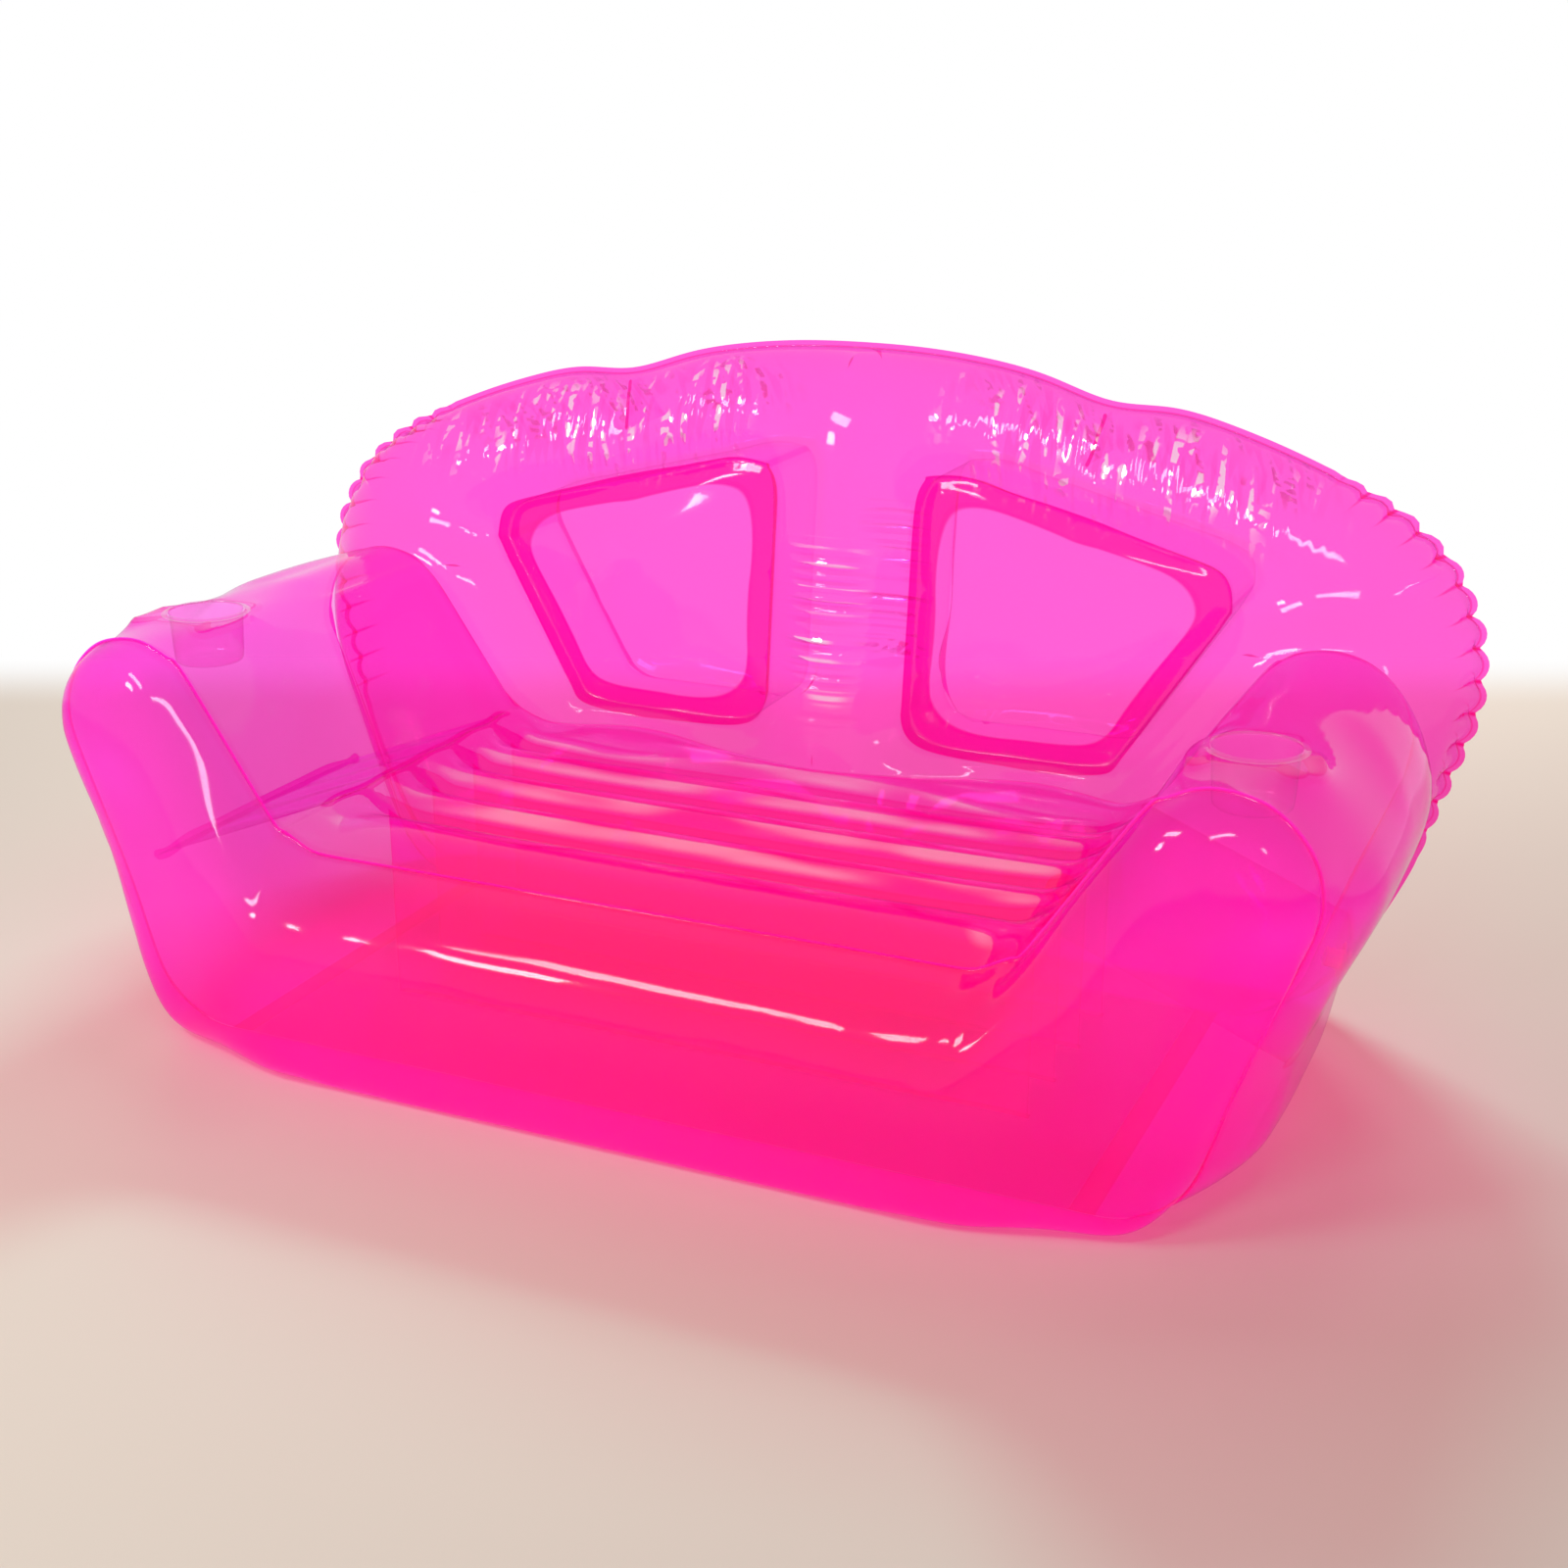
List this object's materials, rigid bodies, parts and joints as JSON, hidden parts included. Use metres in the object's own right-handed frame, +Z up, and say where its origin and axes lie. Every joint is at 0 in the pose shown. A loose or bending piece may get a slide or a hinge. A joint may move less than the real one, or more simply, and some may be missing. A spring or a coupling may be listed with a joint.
{
  "type": "inflatable floor sofa",
  "caption": "Low inflatable two-seat floor sofa in clear tinted film, with a ribbed seat, round arms with cup holders and a rounded back with two window panes.",
  "frame": {"origin": "on the floor, under the middle of the sofa's footprint", "axes": "+Z up, the sofa faces -Y, +X runs to the right arm as seen from behind the sofa's front, so from one arm to the other"},
  "size_m": [1.4866, 0.8584, 0.711],
  "materials": {
    "clear_film": "clear tinted vinyl film",
    "web_film": "clear tinted vinyl film",
    "moulding": "soft moulded vinyl"
  },
  "bodies": {
    "sofa": {"body_front_panel": "clear_film", "seat_arm_panel": "clear_film", "base_panel": "clear_film", "back_front_panel": "clear_film", "back_rear_panel": "clear_film", "seat_web_1": "web_film", "seat_web_2": "web_film", "seat_web_3": "web_film", "seat_web_4": "web_film", "arm_web_left": "web_film", "arm_web_right": "web_film", "window_web_left": "web_film", "window_web_right": "web_film", "crest_tie_left": "web_film", "crest_tie_right": "web_film", "cup_holder_left": "moulding", "cup_holder_right": "moulding", "body_valve_stem": "moulding", "back_valve_stem": "moulding"},
    "body_flap": {"body_valve_flap": "moulding"},
    "body_cap": {"body_valve_cap": "moulding"},
    "back_flap": {"back_valve_flap": "moulding"},
    "back_cap": {"back_valve_cap": "moulding"}
  },
  "joints": [
    {"name": "body_cap_hinge", "type": "hinge", "parent": "sofa", "child": "body_cap", "pos_m": [0.64077, 0.09736, 0.10258], "axis": [-0.2978, 0.9224, -0.2461], "range_deg": [0, 140]},
    {"name": "body_flap_hinge", "type": "hinge", "parent": "sofa", "child": "body_flap", "pos_m": [0.62246, 0.09363, 0.11076], "axis": [0.2978, -0.9224, 0.2461], "range_deg": [0, 65]},
    {"name": "back_cap_hinge", "type": "hinge", "parent": "sofa", "child": "back_cap", "pos_m": [0.2832, 0.30851, 0.06084], "axis": [-0.0056, -0.6122, -0.7907], "range_deg": [0, 140]},
    {"name": "back_flap_hinge", "type": "hinge", "parent": "sofa", "child": "back_flap", "pos_m": [0.27914, 0.29272, 0.07309], "axis": [0.0056, 0.6122, 0.7907], "range_deg": [0, 65]}
  ]
}
